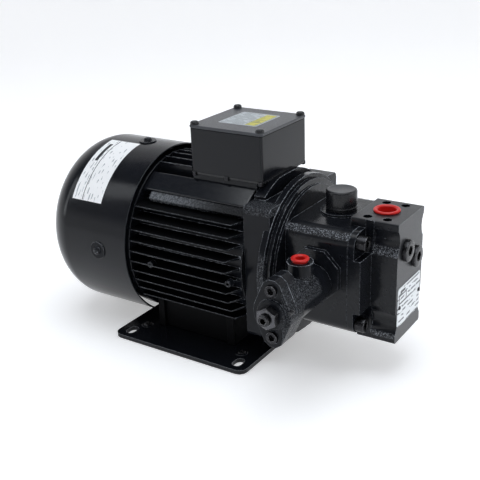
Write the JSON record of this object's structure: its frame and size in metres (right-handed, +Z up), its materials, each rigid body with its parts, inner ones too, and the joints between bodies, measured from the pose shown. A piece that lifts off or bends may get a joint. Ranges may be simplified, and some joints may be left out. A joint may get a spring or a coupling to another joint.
{
  "type": "electric motor axial piston pump",
  "caption": "Close-coupled electric motor and variable axial piston pump on a base plate, with a fan cover, terminal box, pressure control and red port plugs.",
  "frame": {"origin": "centre of the base plate's bottom face", "axes": "+X along the shaft from the fan towards the pump, -Y towards the side that carries the pressure control, +Z up"},
  "size_m": [0.3586, 0.219, 0.2094],
  "materials": {
    "black_paint": "gloss paint over cast iron",
    "black_pressed_paint": "smooth gloss paint over pressed steel",
    "steel": "machined",
    "black_oxide_steel": "black oxide",
    "bronze": "machined bearing bronze",
    "copper_winding": "varnished copper winding",
    "red_plastic": "moulded",
    "black_plastic": "moulded"
  },
  "bodies": {
    "housing": {"base_plate": "black_paint", "cable_entry_plug": "black_plastic", "compensator_body": "black_paint", "compensator_cap": "black_paint", "compensator_screw_1": "black_oxide_steel", "compensator_screw_2": "black_oxide_steel", "compensator_spring": "steel", "end_cover": "black_paint", "end_cover_bolt_1": "black_oxide_steel", "end_cover_bolt_2": "black_oxide_steel", "end_cover_bolt_3": "black_oxide_steel", "end_cover_bolt_4": "black_oxide_steel", "end_plug_1": "black_oxide_steel", "end_plug_2": "black_oxide_steel", "fan_cover": "black_pressed_paint", "front_bearing": "steel", "front_shield": "black_paint", "motor_frame": "black_paint", "pump_bearing": "steel", "pump_housing": "black_paint", "rear_bearing": "steel", "rear_shield": "black_paint", "stator_core": "steel", "terminal_block": "black_plastic", "terminal_box": "black_paint", "terminal_box_lid": "black_paint", "valve_plate": "bronze", "winding_front": "copper_winding", "winding_rear": "copper_winding"},
    "shaft": {"motor_shaft": "steel", "rotor_core": "steel", "cooling_fan": "black_plastic", "pump_shaft": "steel", "cylinder_barrel": "steel"},
    "swash": {"swash_plate": "steel"},
    "retainer": {"retainer_plate": "steel"},
    "shoe_1": {"slipper_1": "bronze"},
    "plunger_1": {"piston_1": "steel"},
    "shoe_2": {"slipper_2": "bronze"},
    "plunger_2": {"piston_2": "steel"},
    "shoe_3": {"slipper_3": "bronze"},
    "plunger_3": {"piston_3": "steel"},
    "shoe_4": {"slipper_4": "bronze"},
    "plunger_4": {"piston_4": "steel"},
    "shoe_5": {"slipper_5": "bronze"},
    "plunger_5": {"piston_5": "steel"},
    "shoe_6": {"slipper_6": "bronze"},
    "plunger_6": {"piston_6": "steel"},
    "shoe_7": {"slipper_7": "bronze"},
    "plunger_7": {"piston_7": "steel"},
    "control_piston": {"control_piston": "steel"},
    "bias_piston": {"bias_piston": "steel"},
    "spool": {"spool": "steel"},
    "adjusting_screw": {"adjusting_screw": "black_oxide_steel"},
    "lock_nut": {"lock_nut": "black_oxide_steel"},
    "fill_cap": {"fill_cap": "black_plastic"},
    "outlet_plug": {"outlet_plug": "red_plastic"},
    "control_port_plug": {"control_port_plug": "red_plastic"}
  },
  "joints": [
    {"name": "shaft_spin", "type": "hinge", "parent": "housing", "child": "shaft", "pos_m": [0, 0, 0.09], "axis": [1, 0, 0], "continuous": true},
    {"name": "swash_tilt", "type": "hinge", "parent": "housing", "child": "swash", "pos_m": [0.125, 0, 0.09], "axis": [0, 1, 0], "range_deg": [-12, 0], "stiffness_Nm_per_rad": 0.3, "springref_deg": 17.19},
    {"name": "retainer_spin", "type": "hinge", "parent": "swash", "child": "retainer", "pos_m": [0.125, 0, 0.09], "axis": [0.9781, 0, -0.2079], "continuous": true},
    {"name": "slipper_1_spin", "type": "hinge", "parent": "retainer", "child": "shoe_1", "pos_m": [0.1292, 0, 0.10978], "axis": [0.9781, 0, -0.2079], "continuous": true},
    {"name": "piston_1_tilt", "type": "hinge", "parent": "shoe_1", "child": "plunger_1", "pos_m": [0.1292, 0, 0.10978], "axis": [0, 1, 0], "range_deg": [0, 12.1]},
    {"name": "slipper_2_spin", "type": "hinge", "parent": "retainer", "child": "shoe_2", "pos_m": [0.12762, 0.01581, 0.10233], "axis": [0.9781, 0, -0.2079], "continuous": true},
    {"name": "piston_2_tilt", "type": "hinge", "parent": "shoe_2", "child": "plunger_2", "pos_m": [0.12762, 0.01581, 0.10233], "axis": [0, 1, 0], "range_deg": [0, 12.1]},
    {"name": "slipper_3_spin", "type": "hinge", "parent": "retainer", "child": "shoe_3", "pos_m": [0.12406, 0.01971, 0.0856], "axis": [0.9781, 0, -0.2079], "continuous": true},
    {"name": "piston_3_tilt", "type": "hinge", "parent": "shoe_3", "child": "plunger_3", "pos_m": [0.12406, 0.01971, 0.0856], "axis": [0, 1, 0], "range_deg": [0, 12.1]},
    {"name": "slipper_4_spin", "type": "hinge", "parent": "retainer", "child": "shoe_4", "pos_m": [0.12121, 0.00877, 0.07218], "axis": [0.9781, 0, -0.2079], "continuous": true},
    {"name": "piston_4_tilt", "type": "hinge", "parent": "shoe_4", "child": "plunger_4", "pos_m": [0.12121, 0.00877, 0.07218], "axis": [0, 1, 0], "range_deg": [0, 12.1]},
    {"name": "slipper_5_spin", "type": "hinge", "parent": "retainer", "child": "shoe_5", "pos_m": [0.12121, -0.00877, 0.07218], "axis": [0.9781, 0, -0.2079], "continuous": true},
    {"name": "piston_5_tilt", "type": "hinge", "parent": "shoe_5", "child": "plunger_5", "pos_m": [0.12121, -0.00877, 0.07218], "axis": [0, 1, 0], "range_deg": [0, 12.1]},
    {"name": "slipper_6_spin", "type": "hinge", "parent": "retainer", "child": "shoe_6", "pos_m": [0.12406, -0.01971, 0.0856], "axis": [0.9781, 0, -0.2079], "continuous": true},
    {"name": "piston_6_tilt", "type": "hinge", "parent": "shoe_6", "child": "plunger_6", "pos_m": [0.12406, -0.01971, 0.0856], "axis": [0, 1, 0], "range_deg": [0, 12.1]},
    {"name": "slipper_7_spin", "type": "hinge", "parent": "retainer", "child": "shoe_7", "pos_m": [0.12762, -0.01581, 0.10233], "axis": [0.9781, 0, -0.2079], "continuous": true},
    {"name": "piston_7_tilt", "type": "hinge", "parent": "shoe_7", "child": "plunger_7", "pos_m": [0.12762, -0.01581, 0.10233], "axis": [0, 1, 0], "range_deg": [0, 12.1]},
    {"name": "control_piston_slide", "type": "slide", "parent": "housing", "child": "control_piston", "axis": [1, 0, 0], "range_m": [-0.0061, 0]},
    {"name": "bias_piston_slide", "type": "slide", "parent": "housing", "child": "bias_piston", "axis": [1, 0, 0], "range_m": [0, 0.0061]},
    {"name": "spool_slide", "type": "slide", "parent": "housing", "child": "spool", "axis": [0, -1, 0], "range_m": [0, 0.003], "stiffness_N_per_m": 1500, "springref_m": -0.0005, "deforming": ["compensator_spring"]},
    {"name": "adjusting_screw_turn", "type": "slide", "parent": "housing", "child": "adjusting_screw", "axis": [0, 1, 0], "range_m": [-0.004, 0.003], "deforming": ["compensator_spring"]},
    {"name": "lock_nut_turn", "type": "hinge", "parent": "housing", "child": "lock_nut", "pos_m": [0.1295, -0.13, 0.0915], "axis": [0, 1, 0], "range_deg": [-180, 180]},
    {"name": "fill_cap_lift", "type": "slide", "parent": "housing", "child": "fill_cap", "axis": [0, 0, 1], "range_m": [0, 0.025]},
    {"name": "outlet_plug_pull", "type": "slide", "parent": "housing", "child": "outlet_plug", "axis": [0, 0, 1], "range_m": [0, 0.02]},
    {"name": "control_port_plug_pull", "type": "slide", "parent": "housing", "child": "control_port_plug", "axis": [0, 0, 1], "range_m": [0, 0.015]}
  ],
  "couplings": [
    {"joint": "retainer_spin", "follows": "shaft_spin", "ratio": 1},
    {"joint": "slipper_1_spin", "follows": "shaft_spin", "ratio": -1},
    {"joint": "piston_1_tilt", "follows": "swash_tilt", "ratio": -1},
    {"joint": "slipper_2_spin", "follows": "shaft_spin", "ratio": -1},
    {"joint": "piston_2_tilt", "follows": "swash_tilt", "ratio": -1},
    {"joint": "slipper_3_spin", "follows": "shaft_spin", "ratio": -1},
    {"joint": "piston_3_tilt", "follows": "swash_tilt", "ratio": -1},
    {"joint": "slipper_4_spin", "follows": "shaft_spin", "ratio": -1},
    {"joint": "piston_4_tilt", "follows": "swash_tilt", "ratio": -1},
    {"joint": "slipper_5_spin", "follows": "shaft_spin", "ratio": -1},
    {"joint": "piston_5_tilt", "follows": "swash_tilt", "ratio": -1},
    {"joint": "slipper_6_spin", "follows": "shaft_spin", "ratio": -1},
    {"joint": "piston_6_tilt", "follows": "swash_tilt", "ratio": -1},
    {"joint": "slipper_7_spin", "follows": "shaft_spin", "ratio": -1},
    {"joint": "piston_7_tilt", "follows": "swash_tilt", "ratio": -1},
    {"joint": "control_piston_slide", "follows": "swash_tilt", "m_per_rad": 0.028193},
    {"joint": "bias_piston_slide", "follows": "swash_tilt", "m_per_rad": -0.028641}
  ]
}
